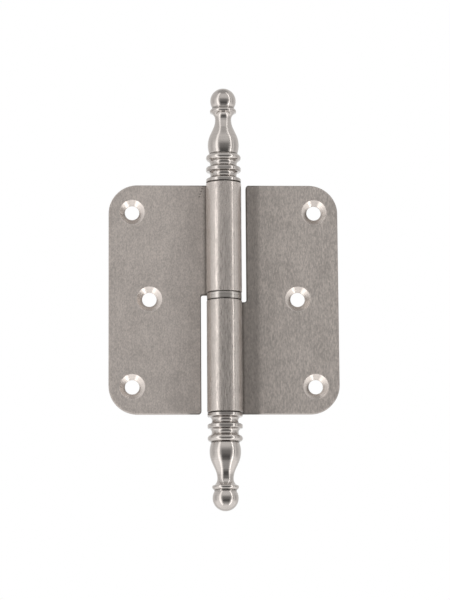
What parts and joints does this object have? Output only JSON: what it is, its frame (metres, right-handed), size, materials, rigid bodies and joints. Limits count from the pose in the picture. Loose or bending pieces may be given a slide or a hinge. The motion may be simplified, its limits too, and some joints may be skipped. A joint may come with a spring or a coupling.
{
  "type": "lift-off paumelle hinge",
  "caption": "Steel lift-off door hinge with rolled knuckles, round-cornered countersunk leaves, a bearing ring and a turned finial at each end.",
  "frame": {"origin": "on the pin axis, half-way up the leaves, in line with the middle screws", "axes": "+Z along the pin towards the upper finial, -Y out of the countersunk faces, +X towards the frame leaf"},
  "size_m": [0.0796, 0.0122, 0.1472],
  "materials": {
    "leaf_steel": "satin, brushed along the pin",
    "pin_steel": "ground, lightly greased",
    "ring_steel": "turned",
    "finial_steel": "turned and polished"
  },
  "bodies": {
    "frame_side": {"frame_leaf": "leaf_steel", "hinge_pin": "pin_steel", "lower_finial": "finial_steel"},
    "ring": {"bearing_ring": "ring_steel"},
    "door_side": {"door_leaf": "leaf_steel", "upper_finial": "finial_steel"}
  },
  "joints": [
    {"name": "swing", "type": "hinge", "parent": "frame_side", "child": "ring", "pos_m": [0, 0, 0], "axis": [0, 0, 1], "range_deg": [-103, 180]},
    {"name": "lift_off", "type": "slide", "parent": "ring", "child": "door_side", "axis": [0, 0, 1], "range_m": [0, 0.032]}
  ]
}
